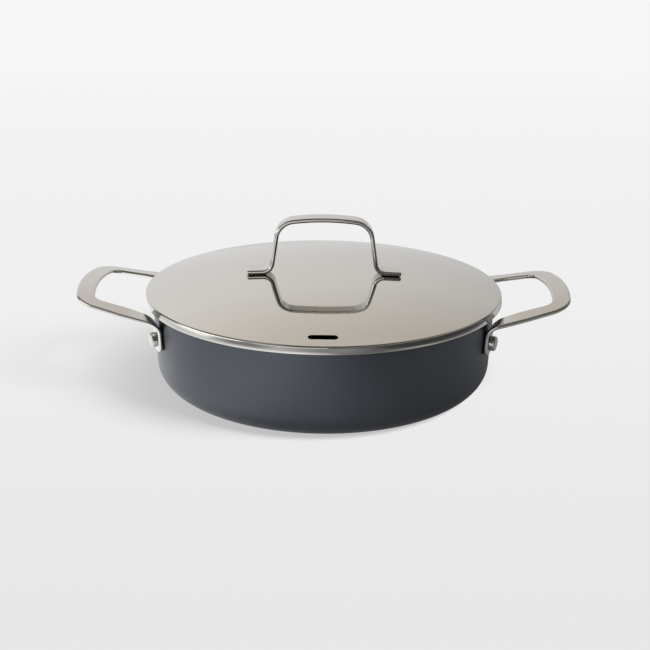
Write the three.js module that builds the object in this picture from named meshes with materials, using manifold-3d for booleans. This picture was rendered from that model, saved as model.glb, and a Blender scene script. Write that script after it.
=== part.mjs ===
// Low two-handled saute pan with a domed steel lid.
// Millimetres, +Z up. The origin is the middle of the base plate's underside, where the pan stands,
// +X runs through the right side handle, and -Y is the side of the lid's steam vent.
import * as THREE from 'three';
import { mergeVertices } from 'three/addons/utils/BufferGeometryUtils.js';
import Module from 'manifold-3d';

// Pan body
const PAN_INNER_RADIUS = 140;
const WALL_THICKNESS = 3;
const BODY_HEIGHT = 77.2;
const WALL_DRAFT = 1.9;
const FLOOR_THICKNESS = 5;
const OUTER_CORNER_RADIUS = 19;
const INNER_CORNER_RADIUS = 16;
const RIM_BEND_RADIUS = 2.5;

// Steel plate set into the underside for induction hobs
const BASE_PLATE_THICKNESS = 2;
const BASE_PLATE_STAND = 0.5;
const BASE_PLATE_CHAMFER = 0.4;
const BASE_RING_WIDTH = 13;

// Lid, a dome of thin sheet with a short skirt
const LID_SHEET = 1;
const LID_DOME_RISE = 11;
const LID_SKIRT_HEIGHT = 6;
const LID_SKIRT_FLARE = 0.8;
const LID_CREASE_RADIUS = 1.2;
const LID_LIP_RADIUS = 0.4;
const VENT_LENGTH = 22;
const VENT_WIDTH = 6.4;
const VENT_INSET = 13.5;

// Bent strap handle on the lid
const LID_HANDLE_WIDTH = 17;
const LID_HANDLE_THICKNESS = 3.3;
const LID_HANDLE_RISE = 48.1;
const LID_HANDLE_GRIP = 52;
const LID_HANDLE_CROWN_RADIUS = 200;
const LID_HANDLE_CORNER_RADIUS = 16;
const LID_HANDLE_LEG_LEAN = 8.5;
const LID_HANDLE_FOOT_BEND = 8;
const LID_HANDLE_FOOT_LENGTH = 14;
const LID_HANDLE_EDGE = 0.6;

// Side handles, flat loops folded down at the wall into riveted tabs
const HANDLE_THICKNESS = 3.5;
const HANDLE_REACH = 60.8;
const HANDLE_SLOPE = 10.9;
const HANDLE_CROWN_RADIUS = 500;
const HANDLE_DROP = 13.5;
const HANDLE_BAR_WIDTH = 14.8;
const HANDLE_ARM_WIDTH = 14.6;
const HANDLE_ROOT_WIDTH = 16.5;
const HANDLE_ARM_TURN = 12.5;
const HANDLE_CORNER_RADIUS = 18;
const HANDLE_BOW_RADIUS = 180;
const HANDLE_FOLD_RADIUS = 11;
const HANDLE_FOLD_LEAD = 18;
const HANDLE_EDGE = 0.7;
const TAB_ANGLE = 23.8;
const TAB_WIDTH = 15;
const TAB_DROP = 24.8;
const TAB_TIP_RADIUS = 6;

// Rivets, one through each tab and the wall
const RIVET_TIP_DISTANCE = 10.3;
const RIVET_SHANK_RADIUS = 3;
const RIVET_HEAD_RADIUS = 6;
const RIVET_HEAD_HEIGHT = 4.5;
const RIVET_HEAD_EDGE = 1.4;
const RIVET_INNER_RADIUS = 5.5;
const RIVET_INNER_HEIGHT = 1.6;

// Fits between pieces
const SEAT_GAP = 0.3;
const SKIRT_CLEARANCE = 1.1;
const SHANK_CLEARANCE = 0.3;

// Fineness of the round surfaces
const TURN_SEGMENTS = 72;
const RIVET_SEGMENTS = 20;
const DOME_STEPS = 8;
const CORNER_STEPS = 6;
const FILLET_STEPS = 3;
const STRAP_STEP = 6;
const STRAP_TURN_STEP = 15;

// Finishes
const ANODISED = { color: 0x4b4e55, roughness: 0.45, metalness: 0.7 };
const POLISHED_STEEL = { color: 0xc4c1bc, roughness: 0.18, metalness: 1 };
const BASE_STEEL = { color: 0xa8a6a2, roughness: 0.35, metalness: 1 };
const RIVET_METAL = { color: 0xb6b4b0, roughness: 0.3, metalness: 1 };

const wasm = await Module();
wasm.setup();

const radians = THREE.MathUtils.degToRad;
const degrees = THREE.MathUtils.radToDeg;
const lerp = THREE.MathUtils.lerp;

// Sizes that follow from the ones above
const undersideZ = BASE_PLATE_STAND;
const floorZ = undersideZ + FLOOR_THICKNESS;
const rimZ = undersideZ + BODY_HEIGHT;
const draft = radians(WALL_DRAFT);
// The wall leans out towards the rim. Radius of its inner and outer faces at a height
const innerWall = (z) => PAN_INNER_RADIUS - (rimZ - z) * Math.tan(draft);
const outerWall = (z) => innerWall(z) + WALL_THICKNESS / Math.cos(draft);
const rimBendZ = rimZ - WALL_THICKNESS - RIM_BEND_RADIUS;
const rimSeatRadius = outerWall(rimBendZ) + RIM_BEND_RADIUS / Math.cos(draft);
const rimOuterRadius = rimSeatRadius + WALL_THICKNESS / 2;
const outerCornerZ = undersideZ + OUTER_CORNER_RADIUS;
const undersideRadius = outerWall(outerCornerZ) - OUTER_CORNER_RADIUS / Math.cos(draft);
const basePlateRadius = undersideRadius - BASE_RING_WIDTH;

const lipRadius = rimOuterRadius + SKIRT_CLEARANCE + LID_SHEET;
const creaseRadius = lipRadius - LID_SKIRT_FLARE;
const domeRadius = (creaseRadius ** 2 + LID_DOME_RISE ** 2) / (2 * LID_DOME_RISE);
const innerDomeRadius = domeRadius - LID_SHEET;
// Height of the dome's outer and inner faces, from the apex, at a distance from the axis
const domeZ = (r) => Math.sqrt(domeRadius ** 2 - r ** 2) - domeRadius;
const innerDomeZ = (r) => Math.sqrt(innerDomeRadius ** 2 - r ** 2) - domeRadius;
const apexZ = rimZ + SEAT_GAP - innerDomeZ(rimSeatRadius);

// A tab lies along the wall. Its middle plane's distance from the origin, and the radius at a height
const tabDistance = outerWall(0) * Math.cos(draft) + SEAT_GAP + HANDLE_THICKNESS / 2;
const tabRadius = (z) => (tabDistance + z * Math.sin(draft)) / Math.cos(draft);
const foldZ = rimZ - HANDLE_DROP;
const tabTipZ = foldZ - TAB_DROP;
const rivetZ = tabTipZ + RIVET_TIP_DISTANCE * Math.cos(draft);
const boreRadius = RIVET_SHANK_RADIUS + SHANK_CLEARANCE;

// Points of an arc in a profile, its ends included
function arc(centreX, centreY, radius, fromDegrees, toDegrees, steps) {
  return Array.from({ length: steps + 1 }, (_, i) => {
    const angle = radians(lerp(fromDegrees, toDegrees, i / steps));
    return new THREE.Vector2(centreX + radius * Math.cos(angle), centreY + radius * Math.sin(angle));
  });
}

// Points of the arc that rounds the corner between two straight lines
function fillet(before, corner, after, radius) {
  const toBefore = before.clone().sub(corner).normalize();
  const toAfter = after.clone().sub(corner).normalize();
  const half = Math.acos(toBefore.dot(toAfter)) / 2;
  const middle = toBefore.clone().add(toAfter).normalize();
  const centre = corner.clone().addScaledVector(middle, radius / Math.sin(half));
  const start = corner.clone().addScaledVector(toBefore, radius / Math.tan(half)).sub(centre);
  const end = corner.clone().addScaledVector(toAfter, radius / Math.tan(half)).sub(centre);
  const turn = Math.atan2(start.cross(end), start.dot(end));
  const middleOfTurn = new THREE.Vector2();
  return Array.from({ length: FILLET_STEPS + 1 }, (_, i) =>
    start.clone().rotateAround(middleOfTurn, (turn * i) / FILLET_STEPS).add(centre),
  );
}

// Solid turned about Z. Its profile runs from the axis, outwards, up and back to the axis.
function turned(profile, segments) {
  return new THREE.LatheGeometry(profile, segments).rotateX(Math.PI / 2);
}

function solidOf(geometry) {
  const bare = geometry.clone();
  bare.deleteAttribute('normal');
  bare.deleteAttribute('uv');
  const merged = mergeVertices(bare);
  const corners = Array.from(merged.index.array);
  const triVerts = [];
  for (let i = 0; i < corners.length; i += 3) {
    const [a, b, c] = corners.slice(i, i + 3);
    if (a !== b && b !== c && c !== a) triVerts.push(a, b, c);
  }
  const vertProperties = new Float32Array(merged.attributes.position.array);
  return new wasm.Manifold(
    new wasm.Mesh({ numProp: 3, vertProperties, triVerts: new Uint32Array(triVerts) }),
  );
}

function geometryOf(solid) {
  const { vertProperties, triVerts } = solid.getMesh();
  const geometry = new THREE.BufferGeometry();
  geometry.setAttribute('position', new THREE.BufferAttribute(vertProperties, 3));
  geometry.setIndex(new THREE.BufferAttribute(triVerts, 1));
  return geometry;
}

function cut(geometry, cutters) {
  const left = cutters.reduce((solid, cutter) => solid.subtract(solidOf(cutter)), solidOf(geometry));
  return geometryOf(left);
}

// Closed strap through a row of stations. Each has a centre, a direction across the strap to the left
// of the way it runs, a face normal and a half width. The section is a flat bar with broken edges.
function strap(stations, thickness, edge) {
  const half = thickness / 2;
  const ringOf = ({ centre, across, normal, halfWidth }) =>
    [
      [-halfWidth, half - edge],
      [-halfWidth, edge - half],
      [edge - halfWidth, -half],
      [halfWidth - edge, -half],
      [halfWidth, edge - half],
      [halfWidth, half - edge],
      [halfWidth - edge, half],
      [edge - halfWidth, half],
    ].map(([u, v]) => centre.clone().addScaledVector(across, u).addScaledVector(normal, v));
  const rings = stations.map(ringOf);
  const size = rings[0].length;
  const index = [];
  for (let start = 0; start < (rings.length - 1) * size; start += size) {
    for (let i = 0; i < size; i++) {
      const a = start + i;
      const b = start + ((i + 1) % size);
      index.push(a, b, a + size, b, b + size, a + size);
    }
  }
  const last = (rings.length - 1) * size;
  for (let i = 1; i + 1 < size; i++) {
    index.push(0, i + 1, i);
    index.push(last, last + i, last + i + 1);
  }
  return new THREE.BufferGeometry().setFromPoints(rings.flat()).setIndex(index);
}

// Walks a flat line of straight runs and arcs, and lists its points with their headings.
// A run has a length; an arc has a radius and a turn in degrees, to the left where positive.
function walk(start, headingDegrees, moves) {
  const places = [{ point: start, heading: radians(headingDegrees), move: 0, share: 0 }];
  moves.forEach(({ length, radius, turn }, move) => {
    const { point, heading } = places.at(-1);
    const turnBy = turn === undefined ? 0 : radians(turn);
    const run = length ?? radius * Math.abs(turnBy);
    const turnSteps = Math.ceil(Math.abs(turnBy) / radians(STRAP_TURN_STEP));
    const steps = Math.max(1, Math.ceil(run / STRAP_STEP), turnSteps);
    for (let i = 1; i <= steps; i++) {
      const share = i / steps;
      const turned = turnBy * share;
      const chord = turnBy === 0 ? run * share : 2 * radius * Math.sin(Math.abs(turned) / 2);
      const towards = heading + turned / 2;
      const step = new THREE.Vector2(chord * Math.cos(towards), chord * Math.sin(towards));
      places.push({ point: point.clone().add(step), heading: heading + turned, move, share });
    }
  });
  return places;
}

// Bar square to the wall, to bore a rivet's hole through a tab and the wall
function rivetBore(angleDegrees) {
  const length = 4 * (WALL_THICKNESS + HANDLE_THICKNESS);
  return new THREE.CylinderGeometry(boreRadius, boreRadius, length, RIVET_SEGMENTS)
    .rotateZ(-Math.PI / 2)
    .rotateY(draft)
    .translate(tabRadius(rivetZ), 0, rivetZ)
    .rotateZ(radians(angleDegrees));
}

const UP = new THREE.Vector3(0, 0, 1);

const RIVET_PLACES = {
  right_front: -TAB_ANGLE,
  right_rear: TAB_ANGLE,
  left_front: 180 + TAB_ANGLE,
  left_rear: 180 - TAB_ANGLE,
};

function panBody() {
  const recessRadius = basePlateRadius + SEAT_GAP;
  const recessZ = BASE_PLATE_THICKNESS + SEAT_GAP;
  const nose = WALL_THICKNESS / 2;
  const innerCornerZ = floorZ + INNER_CORNER_RADIUS;
  const innerCornerX = innerWall(innerCornerZ) - INNER_CORNER_RADIUS / Math.cos(draft);
  const bendStart = 180 - WALL_DRAFT;
  const shell = turned(
    [
      new THREE.Vector2(0, recessZ),
      new THREE.Vector2(recessRadius, recessZ),
      new THREE.Vector2(recessRadius, undersideZ),
      ...arc(undersideRadius, outerCornerZ, OUTER_CORNER_RADIUS, -90, -WALL_DRAFT, CORNER_STEPS),
      ...arc(rimSeatRadius, rimBendZ, RIM_BEND_RADIUS, bendStart, 90, FILLET_STEPS),
      ...arc(rimSeatRadius, rimZ - nose, nose, -60, 90, CORNER_STEPS - 1),
      ...arc(rimSeatRadius, rimBendZ, RIM_BEND_RADIUS + WALL_THICKNESS, 120, bendStart, FILLET_STEPS - 1),
      ...arc(innerCornerX, innerCornerZ, INNER_CORNER_RADIUS, -WALL_DRAFT, -90, CORNER_STEPS),
      new THREE.Vector2(0, floorZ),
    ],
    TURN_SEGMENTS,
  );
  return cut(shell, Object.values(RIVET_PLACES).map(rivetBore));
}

function inductionBasePlate() {
  return turned(
    [
      new THREE.Vector2(0, 0),
      new THREE.Vector2(basePlateRadius - BASE_PLATE_CHAMFER, 0),
      new THREE.Vector2(basePlateRadius, BASE_PLATE_CHAMFER),
      new THREE.Vector2(basePlateRadius, BASE_PLATE_THICKNESS),
      new THREE.Vector2(0, BASE_PLATE_THICKNESS),
    ],
    TURN_SEGMENTS,
  );
}

// Oblong hole with round ends that runs through the lid's sheet
function ventCutter() {
  const endRadius = VENT_WIDTH / 2;
  const endX = VENT_LENGTH / 2 - endRadius;
  const outline = new THREE.Shape();
  outline.absarc(endX, 0, endRadius, -Math.PI / 2, Math.PI / 2, false);
  outline.absarc(-endX, 0, endRadius, Math.PI / 2, (3 * Math.PI) / 2, false);
  const depth = 2 * LID_DOME_RISE;
  const ventRadius = creaseRadius - VENT_INSET;
  return new THREE.ExtrudeGeometry(outline, { depth, bevelEnabled: false, curveSegments: CORNER_STEPS })
    .translate(0, -ventRadius, domeZ(ventRadius) - depth / 2);
}

// Lid sheet. In the lid's frame the apex of the dome is the origin.
function lidShell() {
  const domeLine = (radius, height) =>
    Array.from({ length: DOME_STEPS + 1 }, (_, i) => {
      const r = (radius * i) / DOME_STEPS;
      return new THREE.Vector2(r, height(r));
    });
  const under = domeLine(creaseRadius - LID_SHEET, innerDomeZ);
  const over = domeLine(creaseRadius, domeZ).reverse();
  const lipZ = over[0].y - LID_SKIRT_HEIGHT;
  const innerLip = new THREE.Vector2(lipRadius - LID_SHEET, lipZ);
  const outerLip = new THREE.Vector2(lipRadius, lipZ);
  const shell = turned(
    [
      ...under,
      ...fillet(under.at(-1), innerLip, outerLip, LID_LIP_RADIUS),
      ...fillet(innerLip, outerLip, over[0], LID_LIP_RADIUS),
      ...fillet(outerLip, over[0], over[1], LID_CREASE_RADIUS),
      ...over.slice(1),
    ],
    TURN_SEGMENTS,
  );
  return cut(shell, [ventCutter()]);
}

// Lid handle, walked from the middle of its grip down to one foot and mirrored for the other.
function lidHandle() {
  const seat = SEAT_GAP + LID_HANDLE_THICKNESS / 2;
  const crownTurn = degrees(Math.asin(LID_HANDLE_GRIP / 2 / LID_HANDLE_CROWN_RADIUS));
  const legTurn = 90 - LID_HANDLE_LEG_LEAN;
  const top = new THREE.Vector2(0, LID_HANDLE_RISE - LID_HANDLE_THICKNESS / 2);
  const halfLine = (legLength, footSlope) =>
    walk(top, 0, [
      { radius: LID_HANDLE_CROWN_RADIUS, turn: -crownTurn },
      { radius: LID_HANDLE_CORNER_RADIUS, turn: crownTurn - legTurn },
      { length: legLength },
      { radius: LID_HANDLE_FOOT_BEND, turn: legTurn - footSlope },
      { length: LID_HANDLE_FOOT_LENGTH },
    ]);
  // The legs are as long as it takes for the feet to lie along the dome, one seat gap above it.
  let legLength = LID_HANDLE_RISE / 2;
  let footSlope = 0;
  for (let pass = 0; pass < 5; pass++) {
    const toe = halfLine(legLength, footSlope).at(-1).point;
    const middleX = toe.x - (LID_HANDLE_FOOT_LENGTH / 2) * Math.cos(radians(footSlope));
    const middleZ = toe.y + (LID_HANDLE_FOOT_LENGTH / 2) * Math.sin(radians(footSlope));
    const aboveSeat = middleZ - domeZ(middleX) - seat / Math.cos(radians(footSlope));
    legLength += aboveSeat / Math.cos(radians(LID_HANDLE_LEG_LEAN));
    footSlope = degrees(Math.asin(middleX / domeRadius));
  }
  const half = halfLine(legLength, footSlope);
  const station = ({ point, heading }, side) => ({
    centre: new THREE.Vector3(side * point.x, 0, point.y),
    across: new THREE.Vector3(0, 1, 0),
    normal: new THREE.Vector3(-side * Math.sin(heading), 0, Math.cos(heading)),
    halfWidth: LID_HANDLE_WIDTH / 2,
  });
  const stations = [
    ...half.slice(1).reverse().map((place) => station(place, -1)),
    ...half.map((place) => station(place, 1)),
  ];
  return strap(stations, LID_HANDLE_THICKNESS, LID_HANDLE_EDGE);
}

// Right-hand side handle. Its loop lies in a plane that rises outwards, and is crowned a little from
// arm to arm. Near the wall the strap's sections swing round to the line where that plane meets the
// tab's plane, and fold down about it.
function sideHandle() {
  const slope = radians(HANDLE_SLOPE);
  const armTurn = radians(HANDLE_ARM_TURN);
  const tabTurn = radians(TAB_ANGLE);
  const sideways = new THREE.Vector3(0, 1, 0);
  const planeOut = new THREE.Vector3(Math.cos(slope), 0, Math.sin(slope));
  const planeNormal = new THREE.Vector3(-Math.sin(slope), 0, Math.cos(slope));
  const alongWall = new THREE.Vector3(-Math.sin(tabTurn), Math.cos(tabTurn), 0);
  const tabOut = new THREE.Vector3(Math.cos(draft), 0, -Math.sin(draft)).applyAxisAngle(UP, tabTurn);
  const onTab = (z) => new THREE.Vector3(tabRadius(z), 0, z).applyAxisAngle(UP, tabTurn);
  const foldLine = planeNormal.clone().cross(tabOut).normalize();
  const intoFold = planeNormal.clone().cross(foldLine);
  const foldAngle = planeNormal.angleTo(tabOut.clone().negate());
  const foldLength = HANDLE_FOLD_RADIUS * foldAngle;

  // Angle in the loop's plane between an arm's own cross direction and the fold line
  const armLeft = new THREE.Vector2(-Math.sin(armTurn), -Math.cos(armTurn));
  const foldLeft = new THREE.Vector2(-foldLine.dot(planeOut), -foldLine.y);
  const skew = Math.atan2(armLeft.cross(foldLeft), armLeft.dot(foldLeft));

  // Middle of the strap in the fold, from the arm at share 0 to the tab at share 1
  const foldCorner = onTab(foldZ);
  const onFold = (share) =>
    foldCorner
      .clone()
      .addScaledVector(intoFold, HANDLE_FOLD_RADIUS * (Math.sin(foldAngle * share) - Math.tan(foldAngle / 2)))
      .addScaledVector(planeNormal, HANDLE_FOLD_RADIUS * (Math.cos(foldAngle * share) - 1));
  const sideStep = onFold(1).dot(alongWall) / foldLine.dot(alongWall);
  const drift = (share) => 0.5 * Math.tan(skew) * foldLength * (1 - share) ** 2;
  const foldCentre = (share) => onFold(share).addScaledVector(foldLine, -sideStep - drift(share));

  // Loop, walked from the middle of the bar to the start of the fold
  const planeZ = foldZ - foldCorner.x * Math.tan(slope);
  const armStart = foldCentre(0);
  const armStartOut = armStart.x / Math.cos(slope);
  const barOut = (outerWall(rimZ) + HANDLE_REACH) / Math.cos(slope) - HANDLE_BAR_WIDTH / 2;
  // The bar bows outwards as far round as it takes for the arms to run into the folds.
  let bow = 0;
  let armLength = 0;
  for (let pass = 0; pass < 5; pass++) {
    const cornerOut = HANDLE_CORNER_RADIUS * (Math.cos(bow) - Math.sin(armTurn));
    const bowOut = HANDLE_BOW_RADIUS * (1 - Math.cos(bow));
    armLength = (barOut - bowOut - cornerOut - armStartOut) / Math.cos(armTurn);
    const cornerSide = HANDLE_CORNER_RADIUS * Math.cos(armTurn);
    const barSide = armStart.y - armLength * Math.sin(armTurn) - cornerSide;
    bow = Math.asin(barSide / (HANDLE_BOW_RADIUS - HANDLE_CORNER_RADIUS));
  }
  const loop = walk(new THREE.Vector2(barOut, 0), 90, [
    { radius: HANDLE_BOW_RADIUS, turn: degrees(bow) },
    { radius: HANDLE_CORNER_RADIUS, turn: 90 - HANDLE_ARM_TURN - degrees(bow) },
    { length: armLength },
  ]);
  const widths = [HANDLE_BAR_WIDTH, HANDLE_BAR_WIDTH, HANDLE_ARM_WIDTH, HANDLE_ROOT_WIDTH];
  const loopStations = loop.map(({ point, heading, move, share }) => {
    const toFold = move === 2 ? armLength * (1 - share) : armLength;
    const swing = skew * (1 - THREE.MathUtils.smoothstep(toFold, 0, HANDLE_FOLD_LEAD));
    const left = heading + Math.PI / 2 + swing;
    const across = planeOut.clone().multiplyScalar(Math.cos(left)).addScaledVector(sideways, Math.sin(left));
    const crownLift = (armStart.y ** 2 - point.y ** 2) / (2 * HANDLE_CROWN_RADIUS);
    const crownTilt = (Math.min(1, toFold / HANDLE_FOLD_LEAD) * point.y) / HANDLE_CROWN_RADIUS;
    return {
      centre: new THREE.Vector3(0, point.y, planeZ + crownLift).addScaledVector(planeOut, point.x),
      across: across.addScaledVector(planeNormal, -across.y * crownTilt).normalize(),
      normal: planeNormal.clone().addScaledVector(sideways, crownTilt).normalize(),
      halfWidth: lerp(widths[move], widths[move + 1], share) / 2 / Math.cos(swing),
    };
  });
  const foldSteps = Math.ceil(foldAngle / radians(STRAP_TURN_STEP));
  const foldStations = Array.from({ length: foldSteps }, (_, i) => {
    const share = (i + 1) / foldSteps;
    const leftOver = Math.atan(Math.tan(skew) * (1 - share));
    return {
      centre: foldCentre(share),
      across: foldLine.clone().negate(),
      normal: planeNormal
        .clone()
        .multiplyScalar(Math.cos(foldAngle * share))
        .addScaledVector(intoFold, Math.sin(foldAngle * share)),
      halfWidth: lerp(HANDLE_ROOT_WIDTH, TAB_WIDTH, share) / 2 / Math.cos(leftOver),
    };
  });
  const tip = arc(TAB_WIDTH / 2 - TAB_TIP_RADIUS, TAB_TIP_RADIUS, TAB_TIP_RADIUS, 0, -90, CORNER_STEPS);
  const tabStations = tip.map(({ x, y }) => ({
    centre: onTab(tabTipZ + y * Math.cos(draft)),
    across: alongWall.clone().negate(),
    normal: tabOut.clone().negate(),
    halfWidth: x,
  }));
  const half = [...loopStations, ...foldStations, ...tabStations];
  const mirror = new THREE.Vector3(1, -1, 1);
  const mirrored = half.slice(1).reverse().map(({ centre, across, normal, halfWidth }) => ({
    centre: centre.clone().multiply(mirror),
    across: across.clone().multiply(mirror),
    normal: normal.clone().multiply(mirror),
    halfWidth,
  }));
  const bores = [-TAB_ANGLE, TAB_ANGLE].map(rivetBore);
  return cut(strap([...mirrored, ...half], HANDLE_THICKNESS, HANDLE_EDGE), bores);
}

// Rivet with its axis along Z, pointing out of the pan. The middle plane of its tab is at Z 0.
function rivet() {
  // The inner head is flat underneath, so it stands clear of the curved wall at its edge.
  const wallRadius = innerWall(rivetZ);
  const facet = Math.cos(Math.PI / TURN_SEGMENTS);
  const wallAtEdge = Math.sqrt(wallRadius ** 2 - RIVET_INNER_RADIUS ** 2) * facet;
  const wallFace = -HANDLE_THICKNESS / 2 - SEAT_GAP - WALL_THICKNESS;
  const innerBase = wallFace - (wallRadius - wallAtEdge) - SEAT_GAP;
  const innerTop = innerBase - RIVET_INNER_HEIGHT;
  const innerEdge = RIVET_INNER_HEIGHT / 2;
  const headBase = HANDLE_THICKNESS / 2 + SEAT_GAP;
  const edgeRadius = RIVET_HEAD_RADIUS - RIVET_HEAD_EDGE;
  const headTop = headBase + RIVET_HEAD_HEIGHT;
  return turned(
    [
      new THREE.Vector2(0, innerTop),
      ...arc(RIVET_INNER_RADIUS - innerEdge, innerTop + innerEdge, innerEdge, -90, 0, FILLET_STEPS),
      new THREE.Vector2(RIVET_INNER_RADIUS, innerBase),
      new THREE.Vector2(RIVET_SHANK_RADIUS, innerBase),
      new THREE.Vector2(RIVET_SHANK_RADIUS, headBase),
      new THREE.Vector2(RIVET_HEAD_RADIUS, headBase),
      ...arc(edgeRadius, headTop - RIVET_HEAD_EDGE, RIVET_HEAD_EDGE, 0, 90, FILLET_STEPS),
      new THREE.Vector2(0, headTop),
    ],
    RIVET_SEGMENTS,
  );
}

function piece(name, geometry, finish) {
  const mesh = new THREE.Mesh(geometry, new THREE.MeshStandardMaterial(finish));
  mesh.name = name;
  return mesh;
}

const pan = new THREE.Group();
pan.add(piece('pan_body', panBody(), ANODISED));
pan.add(piece('induction_base_plate', inductionBasePlate(), BASE_STEEL));

const handleGeometry = sideHandle();
const rightHandle = piece('right_handle', handleGeometry, POLISHED_STEEL);
const leftHandle = piece('left_handle', handleGeometry, POLISHED_STEEL);
leftHandle.rotation.z = Math.PI;
pan.add(rightHandle, leftHandle);

const rivetGeometry = rivet();
for (const [place, angle] of Object.entries(RIVET_PLACES)) {
  const turnedGroup = new THREE.Group();
  turnedGroup.rotation.z = radians(angle);
  const mesh = piece(`rivet_${place}`, rivetGeometry, RIVET_METAL);
  mesh.rotation.y = Math.PI / 2 + draft;
  mesh.position.set(tabRadius(rivetZ), 0, rivetZ);
  turnedGroup.add(mesh);
  pan.add(turnedGroup);
}

const lid = new THREE.Group();
lid.position.z = apexZ;
lid.add(piece('lid', lidShell(), POLISHED_STEEL));
lid.add(piece('lid_handle', lidHandle(), POLISHED_STEEL));

const sautePan = new THREE.Group();
sautePan.add(pan, lid);

export default sautePan;
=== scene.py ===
"""Saute pan with two loop handles and a domed steel lid: its looks, the studio and the camera."""

from math import asin, atan, atan2, ceil, cos, degrees, dist, hypot, pi, radians, sin, sqrt, tan, tau
from types import SimpleNamespace

import bpy
from bpy.props import FloatProperty, FloatVectorProperty, IntProperty, PointerProperty
from bpy.types import Operator, Panel, PropertyGroup
from mathutils import Matrix, Vector


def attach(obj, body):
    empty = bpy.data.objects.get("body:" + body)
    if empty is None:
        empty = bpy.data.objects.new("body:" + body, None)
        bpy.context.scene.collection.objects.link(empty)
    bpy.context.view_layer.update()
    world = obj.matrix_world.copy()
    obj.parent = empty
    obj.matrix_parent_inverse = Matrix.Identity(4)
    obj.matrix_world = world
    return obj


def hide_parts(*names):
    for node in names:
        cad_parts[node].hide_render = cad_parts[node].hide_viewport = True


bl_info = {
    "name": "Saute pan",
    "version": (1, 0, 0),
    "blender": (4, 5, 0),
    "location": "View3D > Sidebar > Saute pan",
    "description": "Models a saute pan with its lid and loop handles, and sets it in a studio",
    "category": "Object",
}

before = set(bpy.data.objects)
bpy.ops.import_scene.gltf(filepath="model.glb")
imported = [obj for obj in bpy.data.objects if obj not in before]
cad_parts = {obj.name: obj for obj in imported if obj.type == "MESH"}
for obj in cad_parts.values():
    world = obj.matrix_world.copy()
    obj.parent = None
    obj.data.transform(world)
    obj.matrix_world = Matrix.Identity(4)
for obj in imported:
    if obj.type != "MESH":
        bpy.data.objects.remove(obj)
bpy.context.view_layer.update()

MERGE_DISTANCE = 1e-6
SEED_SIZE = 0.002
FITTING_ROUNDS = 8
SHARP_ANGLE = radians(40)
STRAP_EDGE_ANGLE = radians(60)
FACING_DOWN = -0.5

# Values between which most of a noise pattern lies, and Blender's own factor on a wave pattern's scale
NOISE_LOW, NOISE_HIGH = 0.3, 0.7
WAVE_FACTOR = 20

# The floor's tone runs from its front to its back, in metres, with the middle tone at a share of the way.
# Shadows fade in over a ring round the pan.
FLOOR_SIZE = 60.0
FLOOR_FRONT, FLOOR_BACK, FLOOR_MIDDLE = -0.335, 3.0, 0.15
SHADOW_RING = (0.13, 0.22)
KEY_DIRECTION = (0.68, -0.30, 0.67)

# Brightness of the painted glow that metal reflects in place of the floor near the pan, at places from left
# to right in metres
NEAR_TONES = (
    (-1.0, 0.70), (-0.5, 0.75), (-0.37, 1.10), (-0.2, 1.25), (-0.12, 1.38), (-0.06, 1.10), (0.0, 0.83),
    (0.1, 0.42), (0.26, 0.36), (0.32, 0.60), (0.38, 0.60), (0.46, 0.12), (0.6, 0.07), (1.0, 0.07),
)
# The same of the floor far off, by the sine of the angle from straight ahead, left below 0
FAR_TONES = (
    (-1.0, 1.40), (-0.93, 1.40), (-0.89, 0.62), (-0.84, 0.40), (-0.765, 0.26), (-0.62, 0.28), (-0.42, 0.62),
    (-0.2, 0.42), (0.0, 0.30), (0.2, 0.32), (0.42, 0.18), (0.6, 0.07), (1.0, 0.05),
)
BEHIND_TONE = 0.74
# Where those tones hold. Each share is a product of smooth ramps: axis, start and end in metres, and
# the levels before and after.
FLOOR_SHARES = {
    "dim_right": (("side", 0.0, 0.1, 0.0, 0.55), ("depth", -0.45, -0.25, 1.0, 0.0)),
    "far_off": (("distance", 0.45, 0.75, 0.0, 1.0),),
    "behind": (("depth", 0.1, 0.35, 0.0, 1.0),),
    "left_half": (("side", 0.0, 0.2, 1.0, 0.5),),
    "clear_of_pan": (("distance", 0.4, 0.7, 0.0, 1.0),),
    # Painted shadow round the pan's foot in what metal reflects of the floor, to the left and to the right
    # of the pan
    "right_half": (("side", -0.12, -0.02, 0.0, 1.0),),
    "painted_shadow_left": (("distance", 0.12, 0.17, 0.5, 1.0),),
    "painted_shadow_right": (("distance", 0.13, 0.24, 0.45, 1.0),),
}
# Lights that metal shows, in the same way, along the parts of a direction of length 1
LIGHTS = {
    "wall_behind": (("depth", 0.45, 0.72, 0.0, 1.0), ("side", -0.45, 1.3, 1.10, 0.25)),
    "ceiling_behind": (("backwards", 1.02, 1.18, 0.0, 0.6),),
    "band_all_round": (("height", 0.40, 0.52, 0.10, 0.45), ("height", 0.66, 0.76, 1.0, 0.22)),
    "front_left": (("side", -0.38, -0.18, 0.45, 0.0), ("depth", -0.1, 0.1, 1.0, 0.0)),
    "strip_in_front": (
        ("depth", -0.8, -0.6, 1.0, 0.0),
        ("side", 0.04, 0.06, 2.4, 0.0),
        ("height", 0.02, 0.06, 0.0, 1.0),
        ("height", 0.14, 0.24, 1.0, 0.0),
    ),
    "low_far_left": (("side", -0.93, -0.89, 0.95, 0.0), ("height", 0.08, 0.16, 1.0, 0.0)),
    "panel_left": (
        ("side", -0.80, -0.68, 3.2, 0.0),
        ("depth", 0.05, 0.25, 1.0, 0.0),
        ("height", 0.08, 0.12, 0.0, 1.0),
        ("height", 0.30, 0.45, 1.0, 0.0),
    ),
    "below": (("height", -0.3, -0.05, 0.6, 0.0),),
}
# Share of the depth that counts with the height for the ceiling behind
CEILING_SLANT = 0.8
# Tint of the lights from low to high, and how far the left is taken lower
WARMTH = ((0.03, (0.80, 0.80, 0.805)), (0.33, (0.865, 0.845, 0.82)), (0.60, (0.775, 0.725, 0.66)))
COOLER_LEFT = 0.5


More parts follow.
